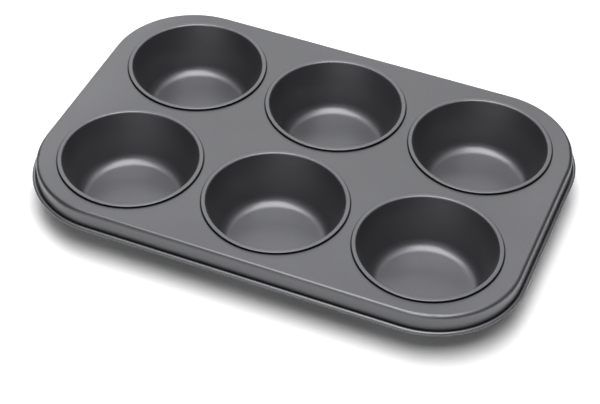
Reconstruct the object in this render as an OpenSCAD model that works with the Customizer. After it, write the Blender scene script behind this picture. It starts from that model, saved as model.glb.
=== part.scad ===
/* [Deck] */
// Length over the skirt, the long way
deck_length = 260; // [254:0.2:290]
// Width over the skirt, the short way
deck_width = 174.4; // [170:0.2:200]
// Corner radius over the skirt
corner_radius = 46; // [30:1:60]
// Outer radius of the shoulder between the flat top and the skirt
shoulder_radius = 2; // [1:0.1:4]
// Drop from the flat top to the centre of the rolled edge
skirt_drop = 9.9; // [7:0.1:16]
// Thickness of the deck sheet
deck_sheet = 0.5; // [0.3:0.05:0.6]

/* [Rolled edge] */
// Outer diameter of the edge, which is rolled outwards into a hollow bead
bead_diameter = 2.1; // [1.8:0.1:3]
// Gap between the bead and the outer face of the skirt
bead_gap = 0.4; // [0.2:0.05:0.8]
// Inner radius of the bend that leads from the skirt out to the bead
bead_bend = 0.3; // [0.2:0.05:0.4]

/* [Cups] */
// Margin from the cup rims to the outer face of the skirt, at both ends
end_margin = 11; // [7:0.1:13]
// Margin from the cup rims to the outer face of the skirt, at front and back
side_margin = 8.3; // [6:0.1:10]
// Inner diameter at the mouth, where the wall turns into the rim
mouth_diameter = 70; // [62:0.2:72]
// Depth from the flat top to the inside of the cup floor
cup_depth = 27; // [18:0.5:36]
// Diameter of the flat part of the cup floor
floor_diameter = 46.6; // [40:0.2:50]
// Inner radius between the cup floor and the cup wall
floor_fillet = 6; // [3:0.25:8]
// Thickness of the cup sheet
cup_sheet = 0.5; // [0.3:0.05:0.55]

/* [Cup rims] */
// Width of the curled rim, from the mouth to the outer face of its leg
rim_width = 2.8; // [2.6:0.1:3.4]
// Height of the curled rim above the flat top
rim_height = 1.15; // [1.1:0.05:1.6]
// Outer radius of the bend from the cup wall into the top of the rim
mouth_bend = 1.1; // [0.8:0.05:1.2]
// Outer radius of the bend from the top of the rim into its outer leg
leg_bend = 0.6; // [0.55:0.05:0.65]
// Gap under the outer leg of the curled rim
rim_lift = 0.45; // [0.2:0.05:0.45]
// Radius at the foot of the collar that stands up round each hole
collar_fillet = 0.25; // [0.2:0.05:0.3]
// Clearance between the collar and the outer leg of the rim
seam_side = 0.2; // [0.15:0.05:0.25]
// Clearance between the top of the collar and the crown of the rim
seam_crown = 0.05; // [0.02:0.01:0.1]

/* [Hidden] */
$fn = 96;

COATING = [0.33, 0.33, 0.345];
CUP_COATING = [0.29, 0.29, 0.305];

// Cup columns run from left to right, rows from front to back
columns = 3;
rows = 2;

// The pan stands on the undersides of the cups, so the flat top lies this high
top_z = cup_depth + cup_sheet;

// Curled rim: the centres of its two bends, and the outer face of its leg
mouth_radius = mouth_diameter / 2;
rim_radius = mouth_radius + rim_width;
mouth_centre = [mouth_radius + mouth_bend, rim_height - mouth_bend];
leg_centre = [rim_radius - leg_bend, rim_height - leg_bend];

// Collar: it stands against the leg of the rim, with its rounded top just under the crown
collar_line = rim_radius - cup_sheet - seam_side - deck_sheet / 2;
collar_top = rim_height - cup_sheet - seam_crown;
collar_bend = collar_line + deck_sheet / 2 + collar_fillet;

// Cup wall: the line that touches the floor fillet on one side and the rim on the other
fillet_centre = [floor_diameter / 2, floor_fillet - cup_depth];
wall_run = mouth_centre - fillet_centre;
wall_angle = acos((mouth_bend + floor_fillet) / norm(wall_run)) - atan2(wall_run.y, wall_run.x);

// Distances between cup centres, which follow from the margins round the rims
pitch_x = (deck_length - 2 * (end_margin + rim_radius)) / (columns - 1);
pitch_y = (deck_width - 2 * (side_margin + rim_radius)) / (rows - 1);

// Rolled edge: the sheet turns out at the foot of the skirt and is rolled up into the bead
bead_outer = bead_diameter / 2;
bead_centre = bead_gap + bead_outer;
edge_drop = skirt_drop + bead_outer;
skirt_end = edge_drop - deck_sheet - bead_bend;

// Flat part of the top, inside the shoulder
flat_length = deck_length - 2 * shoulder_radius;
flat_width = deck_width - 2 * shoulder_radius;
flat_corner = corner_radius - shoulder_radius;
straight_x = deck_length - 2 * corner_radius;
straight_y = deck_width - 2 * corner_radius;

// Width by which the bent parts of the sheet run into the flat top
lap = 0.2;
// Margin by which a cutting shape passes the edge that it cuts
past = 1;
// Widest step of the fan that cuts a band out of a ring
fan_step = 45;
// Number of steps along the floor fillet and along each bend of the rim
fillet_steps = 12;
edge_steps = 8;

function polar(radius, angle) = radius * [cos(angle), sin(angle)];

function arc(centre, radius, from, to, steps) =
    [for (i = [0:steps]) centre + polar(radius, from + (to - from) * i / steps)];

function cup_x(column) = (column - (columns - 1) / 2) * pitch_x;

function cup_y(row) = (row - (rows - 1) / 2) * pitch_y;

// Wedge of a circle from one angle to another, which may be more than a half turn
module fan(radius, from, to) {
    steps = ceil((to - from) / fan_step);
    reach = radius / cos(fan_step / 2) + past;
    rim = [for (i = [0:steps]) polar(reach, from + (to - from) * i / steps)];
    polygon(concat([[0, 0]], rim));
}

// Bent sheet: a band of a ring between two angles
module bend(inner, outer, from, to) {
    intersection() {
        difference() {
            circle(r = outer);
            circle(r = inner);
        }
        fan(outer, from, to);
    }
}

// Rectangle with round corners, centred
module rounded_plate(length, width, radius) {
    square([length - 2 * radius, width], center = true);
    square([length, width - 2 * radius], center = true);
    for (sx = [-1, 1], sy = [-1, 1])
        translate([sx * (length / 2 - radius), sy * (width / 2 - radius)]) circle(r = radius);
}

// Section of the edge: shoulder, skirt, turn and rolled bead, with x = 0 at the outer face of the skirt
module edge_section() {
    translate([-shoulder_radius - lap, -deck_sheet])
        square([lap, deck_sheet]);
    translate([-shoulder_radius, -shoulder_radius])
        bend(shoulder_radius - deck_sheet, shoulder_radius, 0, 90);
    translate([-deck_sheet, -skirt_end])
        square([deck_sheet, skirt_end - shoulder_radius]);
    translate([bead_bend, -skirt_end])
        bend(bead_bend, bead_bend + deck_sheet, 180, 270);
    translate([bead_bend, -edge_drop])
        square([bead_centre - bead_bend, deck_sheet]);
    translate([bead_centre, -skirt_drop])
        bend(bead_outer - deck_sheet, bead_outer, 270, 540);
}

// The edge section along one straight side, which runs along y at x = 0
module straight_edge(length) {
    rotate([90, 0, 0])
        linear_extrude(height = length, center = true)
            edge_section();
}

// The edge section swept a quarter turn round a corner
module corner_edge() {
    rotate_extrude(angle = 90)
        translate([corner_radius, 0])
            edge_section();
}

// The whole edge: four straight sides and four corners
module deck_edge() {
    for (side = [0, 180]) {
        rotate([0, 0, side]) translate([deck_length / 2, 0, 0]) straight_edge(straight_y);
        rotate([0, 0, side + 90]) translate([deck_width / 2, 0, 0]) straight_edge(straight_x);
        rotate([0, 0, side]) translate([straight_x / 2, straight_y / 2, 0]) corner_edge();
        rotate([0, 0, side + 90]) translate([straight_y / 2, straight_x / 2, 0]) corner_edge();
    }
}

// Collar round a hole: the sheet turns up through a fillet and ends in a rounded edge
module collar() {
    rotate_extrude() {
        translate([collar_bend, -deck_sheet])
            square([lap, deck_sheet]);
        translate([collar_bend, collar_fillet])
            bend(collar_fillet, collar_fillet + deck_sheet, 180, 270);
        translate([collar_line - deck_sheet / 2, collar_fillet])
            square([deck_sheet, collar_top - deck_sheet / 2 - collar_fillet]);
        translate([collar_line, collar_top - deck_sheet / 2])
            bend(0, deck_sheet / 2, 0, 180);
    }
}

// Flat top with a round hole for each cup
module flat_top() {
    translate([0, 0, -deck_sheet])
        linear_extrude(height = deck_sheet)
            difference() {
                rounded_plate(flat_length, flat_width, flat_corner);
                for (column = [0:columns - 1], row = [0:rows - 1])
                    translate([cup_x(column), cup_y(row)]) circle(r = collar_bend);
            }
}

// Pressed deck in one sheet: flat top, collars, shoulder, skirt and rolled edge
module deck() {
    color(COATING) translate([0, 0, top_z]) {
        flat_top();
        deck_edge();
        for (column = [0:columns - 1], row = [0:rows - 1])
            translate([cup_x(column), cup_y(row), 0]) collar();
    }
}

// Section of a cup: from the middle of its floor up the outside, round the rim and back down the inside
module cup_section() {
    floor_z = -cup_depth;
    turn = 180 - wall_angle;
    outer_face = concat(
        arc(fillet_centre, floor_fillet + cup_sheet, -90, -wall_angle, fillet_steps),
        arc(mouth_centre, mouth_bend - cup_sheet, turn, 90, edge_steps),
        arc(leg_centre, leg_bend - cup_sheet, 90, 0, edge_steps)
    );
    inner_face = concat(
        arc(leg_centre, leg_bend, 0, 90, edge_steps),
        arc(mouth_centre, mouth_bend, 90, turn, edge_steps),
        arc(fillet_centre, floor_fillet, -wall_angle, -90, fillet_steps)
    );
    leg_end = [[rim_radius - cup_sheet, rim_lift], [rim_radius, rim_lift]];
    polygon(concat([[0, floor_z - cup_sheet]], outer_face, leg_end, inner_face, [[0, floor_z]]));
}

// Drawn cup, which hangs with its curled rim over the collar of its hole
module cup(column, row) {
    color(CUP_COATING)
        translate([cup_x(column), cup_y(row), top_z])
            rotate_extrude()
                cup_section();
}

deck();
cup(0, 0);  // cup_front_left
cup(1, 0);  // cup_front_middle
cup(2, 0);  // cup_front_right
cup(0, 1);  // cup_back_left
cup(1, 1);  // cup_back_middle
cup(2, 1);  // cup_back_right
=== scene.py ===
from math import radians

import bpy
from mathutils import Euler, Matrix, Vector

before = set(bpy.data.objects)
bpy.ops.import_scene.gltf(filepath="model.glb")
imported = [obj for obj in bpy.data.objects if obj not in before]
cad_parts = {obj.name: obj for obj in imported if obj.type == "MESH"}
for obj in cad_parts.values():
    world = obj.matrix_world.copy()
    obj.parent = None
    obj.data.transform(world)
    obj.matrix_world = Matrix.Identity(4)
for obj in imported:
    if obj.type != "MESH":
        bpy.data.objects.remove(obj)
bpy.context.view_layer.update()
MM = 0.001
UNIT = (0.0, 1.0)

# Photograph's view, worked out from the cup rims and the deck's edges
CAMERA_PLACE = (0.2439, -0.6377, 0.6356)
CAMERA_TURN = (46.65, -1.30, 22.37)
CAMERA_LENS = 105.6
SENSOR_WIDTH = 36.0

# Studio: name, place, aim, size and watts of each softbox
SOFTBOXES = (
    ("overhead", (0.03, -0.13, 1.15), (0.01, -0.095, 0.0), (0.80, 1.25), 14.8),
    ("backdrop", (-0.50, 0.90, 0.64), (0.0, 0.0, 0.0), (1.50, 0.80), 4.8),
    ("front", (0.0, -1.148, 0.351), (0.0, 0.0, 0.0), (0.90, 0.50), 2.1),
)

# Background: plain white to the camera, and nearly no light of its own on the pan
WHITE = (1.0, 1.0, 1.0, 1.0)
WHITE_LEVEL = 1.0
WORLD_TO_OTHERS = 0.01

# Paper on the floor, as the camera, reflections and all other rays see it.
# Between the two distances from the middle it fades to plain white for the camera.
FLOOR_HALF = 3.0
FLOOR_FADE = (0.30, 0.55)
FLOOR_TO_CAMERA = (1.3, 1.3, 1.3, 1.0)
FLOOR_IN_REFLECTIONS = WHITE
FLOOR_TO_OTHERS = (0.8, 0.8, 0.8, 1.0)

# Coating: a metallic satin base under a thin clear layer
DECK_TONE = (0.152, 0.153, 0.163)
CUP_TONE = (0.181, 0.182, 0.194)
TONE_SPREAD = (0.90, 1.12)
METALLIC = 0.95
ROUGH = (0.48, 0.54)
CLEAR_WEIGHT = 0.72
CLEAR_ROUGH = 0.20

# Noises: scale per metre, detail and roughness
GRAIN = (2600.0, 2.0, 0.5)
RIPPLE = (420.0, 3.0, 0.5)
CLOUD = (22.0, 4.0, 0.55)
# Values between which the cloud noise, and the sum of cloud and grain, are spread
CLOUD_RANGE = (0.3, 0.7)
SUM_RANGE = (0.6, 1.4)
# Shift of the noises from one cup to the next
CUP_NOISE_STEP = 0.37

# Bumps: strength and height
GRAIN_BUMP = (0.10, 0.05 * MM)
RIPPLE_BUMP = (0.06, 0.10 * MM)

# Painted shade in the crevice round each cup, on the deck just outside the rim and on the rim's outer
# face: distances outside the rim at which it starts and is full
SEAM_SHADE_TONE = (0.010, 0.010, 0.010, 1.0)
DECK_SEAM_SHADE = (0.60 * MM, 0.05 * MM)
CUP_SEAM_SHADE = (-0.35 * MM, -0.05 * MM)
# Factors that leave the distance from an upright axis
ACROSS = (1.0, 1.0, 0.0)

# Lighter coating towards both ends of the deck: distances from its ends, and factor
END_FADE = (36.5 * MM, 10.5 * MM)
END_LIFT = 1.18

# Painted highlight on the crest of the rolled edge, where it faces up: heights above its foot, how far it
# faces up, and factor
CREST_RISE = (1.35 * MM, 1.95 * MM)
CREST_TOP = 3.45 * MM
CREST_FACING = (0.6, 0.9)
CREST_HIGHLIGHT = 1.7


def node_tree(owner):
    """Node tree of a material or world, emptied."""
    owner.use_nodes = True
    tree = owner.node_tree
    tree.nodes.clear()
    return tree


def set_socket(tree, socket, value):
    """Links a socket to another one, or gives it a plain value."""
    if isinstance(value, bpy.types.NodeSocket):
        tree.links.new(value, socket)
    else:
        socket.default_value = value


def add_node(tree, kind, inputs, **settings):
    node = tree.nodes.new(kind)
    for name, value in settings.items():
        setattr(node, name, value)
    for name, value in inputs.items():
        set_socket(tree, node.inputs[name], value)
    return node


def calculate(tree, operation, *values):
    node = add_node(tree, "ShaderNodeMath", dict(enumerate(values)), operation=operation)
    return node.outputs["Value"]


def calculate_vector(tree, operation, output, *values):
    node = add_node(tree, "ShaderNodeVectorMath", dict(enumerate(values)), operation=operation)
    return node.outputs[output]


def scaled(tree, colour, factor):
    node = add_node(tree, "ShaderNodeVectorMath", {0: colour, "Scale": factor}, operation="SCALE")
    return node.outputs["Vector"]


def noise(tree, place, scale, detail, roughness):
    node = add_node(tree, "ShaderNodeTexNoise",
                    {"Vector": place, "Scale": scale, "Detail": detail, "Roughness": roughness})
    return node.outputs["Fac"]


def spread(tree, value, source, target):
    """Value in the source range, brought to the target range and held inside it."""
    node = add_node(tree, "ShaderNodeMapRange", {
        "Value": value,
        "From Min": source[0], "From Max": source[1],
        "To Min": target[0], "To Max": target[1],
    })
    return node.outputs["Result"]


def mixed(tree, factor, first, second):
    """Colour between the first, at factor zero, and the second, at factor one."""
    node = add_node(tree, "ShaderNodeMix", {"Factor": factor}, data_type="RGBA", clamp_factor=True)
    set_socket(tree, node.inputs["A"], first)
    set_socket(tree, node.inputs["B"], second)
    return node.outputs["Result"]


def bumped(tree, height, bump, **inputs):
    """Normal with a bump, on top of the one that may be passed in."""
    strength, distance = bump
    node = add_node(tree, "ShaderNodeBump",
                    {"Height": height, "Strength": strength, "Distance": distance, **inputs})
    return node.outputs["Normal"]


def extent(obj, owner):
    """Lowest and highest corner of a piece, in the coordinates of the piece that carries the material."""
    to_owner = owner.matrix_world.inverted() @ obj.matrix_world
    parts = list(zip(*(to_owner @ Vector(corner) for corner in obj.bound_box)))
    return Vector([min(part) for part in parts]), Vector([max(part) for part in parts])


def cup_rims(owner):
    """Centre and radius of each cup's rim, in the coordinates of the piece that carries the material."""
    rims = []
    for name, obj in sorted(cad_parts.items()):
        if name != "deck":
            low, high = extent(obj, owner)
            centre = (low + high) / 2
            rims.append(((centre.x, centre.y, 0.0), (high.x - low.x) / 2))
    return rims


def seam_shade_mask(tree, place, owner, seam):
    """One where shade is painted in the seam round a cup, and zero away from it."""
    flat = calculate_vector(tree, "MULTIPLY", "Vector", place, ACROSS)
    nearest = None
    for centre, radius in cup_rims(owner):
        distance = calculate_vector(tree, "DISTANCE", "Value", flat, centre)
        gap = calculate(tree, "SUBTRACT", distance, radius)
        nearest = gap if nearest is None else calculate(tree, "MINIMUM", nearest, gap)
    return spread(tree, nearest, seam, UNIT)


def end_lift(tree, parts, reach):
    """Factor that rises towards both ends of the deck."""
    along = calculate(tree, "ABSOLUTE", parts["X"])
    fade = [reach - margin for margin in END_FADE]
    return spread(tree, along, fade, (1.0, END_LIFT))


def crest_highlight(tree, parts, foot):
    """Factor that paints a highlight where the rolled edge faces up."""
    normal = add_node(tree, "ShaderNodeNewGeometry", {}).outputs["Normal"]
    upward = add_node(tree, "ShaderNodeSeparateXYZ", {"Vector": normal}).outputs["Z"]
    height = calculate(tree, "SUBTRACT", parts["Z"], foot)
    high = spread(tree, height, CREST_RISE, UNIT)
    low = calculate(tree, "LESS_THAN", height, CREST_TOP)
    facing = spread(tree, upward, CREST_FACING, UNIT)
    crest = calculate(tree, "MULTIPLY", calculate(tree, "MULTIPLY", high, low), facing)
    return spread(tree, crest, UNIT, (1.0, CREST_HIGHLIGHT))


def deck_lift_and_highlight(tree, place, deck):
    """Factor on the deck's tone, above one at its ends, and a painted highlight on the crest of its
    rolled edge.
    """
    low, high = extent(deck, deck)
    parts = add_node(tree, "ShaderNodeSeparateXYZ", {"Vector": place}).outputs
    return calculate(tree, "MULTIPLY", end_lift(tree, parts, high.x), crest_highlight(tree, parts, low.z))


def clouded(tree, tone, cloud, grain):
    """Tone of the coating, uneven by the cloud and grain noises."""
    both = calculate(tree, "ADD", cloud, grain)
    dark, light = [[part * level for part in tone] + [1.0] for level in TONE_SPREAD]
    return mixed(tree, spread(tree, both, SUM_RANGE, UNIT), dark, light)


def coating(name, tone, offset, owner, seam):
    """Satin non-stick coating: dark metallic paint with grain and clouding, under a clear layer."""
    material = bpy.data.materials.new(name + "_coating")
    tree = node_tree(material)
    place = add_node(tree, "ShaderNodeTexCoord", {}).outputs["Object"]
    mapping = add_node(tree, "ShaderNodeMapping", {"Vector": place, "Location": offset})
    shifted = mapping.outputs["Vector"]
    grain = noise(tree, shifted, *GRAIN)
    ripple = noise(tree, shifted, *RIPPLE)
    cloud = noise(tree, shifted, *CLOUD)
    colour = clouded(tree, tone, cloud, grain)
    if name == "deck":
        # The deck's tone is lighter towards its ends and carries a painted highlight on the crest of its
        # rolled edge
        colour = scaled(tree, colour, deck_lift_and_highlight(tree, place, owner))
    # Painted shade: the seam round each cup is made near black and loses its clear layer
    shade_mask = seam_shade_mask(tree, place, owner, seam)
    normal = bumped(tree, ripple, RIPPLE_BUMP, Normal=bumped(tree, grain, GRAIN_BUMP))
    shader = add_node(tree, "ShaderNodeBsdfPrincipled", {
        "Base Color": mixed(tree, shade_mask, colour, SEAM_SHADE_TONE),
        "Metallic": METALLIC,
        "Roughness": spread(tree, cloud, CLOUD_RANGE, ROUGH),
        "Coat Weight": spread(tree, shade_mask, UNIT, (CLEAR_WEIGHT, 0.0)),
        "Coat Roughness": CLEAR_ROUGH,
        "Normal": normal,
        "Coat Normal": normal,
    })
    add_node(tree, "ShaderNodeOutputMaterial", {"Surface": shader.outputs["BSDF"]})
    return material


def dress():
    for index, (name, obj) in enumerate(sorted(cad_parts.items())):
        if name == "deck":
            coat = coating(name, DECK_TONE, (0.0, 0.0, 0.0), obj, DECK_SEAM_SHADE)
        else:
            coat = coating(name, CUP_TONE, (index * CUP_NOISE_STEP, 0.0, 0.0), obj, CUP_SEAM_SHADE)
        for slot in obj.material_slots:
            slot.material = coat


def paper():
    """White paper that takes the pan's shadow and is plain white to the camera farther away."""
    material = bpy.data.materials.new("floor_paper")
    tree = node_tree(material)
    path = add_node(tree, "ShaderNodeLightPath", {}).outputs
    reflected = calculate(tree, "MAXIMUM", path["Is Glossy Ray"], path["Is Transmission Ray"])
    colour = mixed(tree, reflected, FLOOR_TO_OTHERS, FLOOR_IN_REFLECTIONS)
    colour = mixed(tree, path["Is Camera Ray"], colour, FLOOR_TO_CAMERA)
    near = add_node(tree, "ShaderNodeBsdfDiffuse", {"Color": colour})
    white = add_node(tree, "ShaderNodeEmission", {"Color": WHITE, "Strength": WHITE_LEVEL})
    place = add_node(tree, "ShaderNodeTexCoord", {}).outputs["Object"]
    distance = calculate_vector(tree, "LENGTH", "Value", place)
    far = spread(tree, distance, FLOOR_FADE, UNIT)
    far = calculate(tree, "MULTIPLY", far, path["Is Camera Ray"])
    shader = add_node(tree, "ShaderNodeMixShader",
                      {0: far, 1: near.outputs["BSDF"], 2: white.outputs["Emission"]})
    add_node(tree, "ShaderNodeOutputMaterial", {"Surface": shader.outputs["Shader"]})
    return material


def floor():
    mesh = bpy.data.meshes.new("floor")
    corners = [(-FLOOR_HALF, -FLOOR_HALF, 0), (FLOOR_HALF, -FLOOR_HALF, 0),
               (FLOOR_HALF, FLOOR_HALF, 0), (-FLOOR_HALF, FLOOR_HALF, 0)]
    mesh.from_pydata(corners, [], [(0, 1, 2, 3)])
    mesh.materials.append(paper())
    obj = bpy.data.objects.new("floor", mesh)
    bpy.context.scene.collection.objects.link(obj)


def softbox(name, place, aim, size, watts):
    light = bpy.data.lights.new(name, "AREA")
    light.shape = "RECTANGLE"
    light.size, light.size_y = size
    light.energy = watts
    obj = bpy.data.objects.new(name, light)
    obj.location = place
    obj.rotation_euler = (Vector(aim) - Vector(place)).to_track_quat("-Z", "Y").to_euler()
    bpy.context.scene.collection.objects.link(obj)


def background():
    world = bpy.data.worlds.new("studio")
    bpy.context.scene.world = world
    tree = node_tree(world)
    to_camera = add_node(tree, "ShaderNodeLightPath", {}).outputs["Is Camera Ray"]
    strength = spread(tree, to_camera, UNIT, (WORLD_TO_OTHERS, WHITE_LEVEL))
    shader = add_node(tree, "ShaderNodeBackground", {"Color": WHITE, "Strength": strength})
    add_node(tree, "ShaderNodeOutputWorld", {"Surface": shader.outputs["Background"]})


def camera():
    data = bpy.data.cameras.new("camera")
    data.sensor_width = SENSOR_WIDTH
    data.lens = CAMERA_LENS
    obj = bpy.data.objects.new("camera", data)
    obj.location = CAMERA_PLACE
    obj.rotation_euler = Euler([radians(angle) for angle in CAMERA_TURN])
    bpy.context.scene.collection.objects.link(obj)
    bpy.context.scene.camera = obj
    bpy.context.scene.view_settings.view_transform = "Standard"


dress()
floor()
for box in SOFTBOXES:
    softbox(*box)
background()
camera()
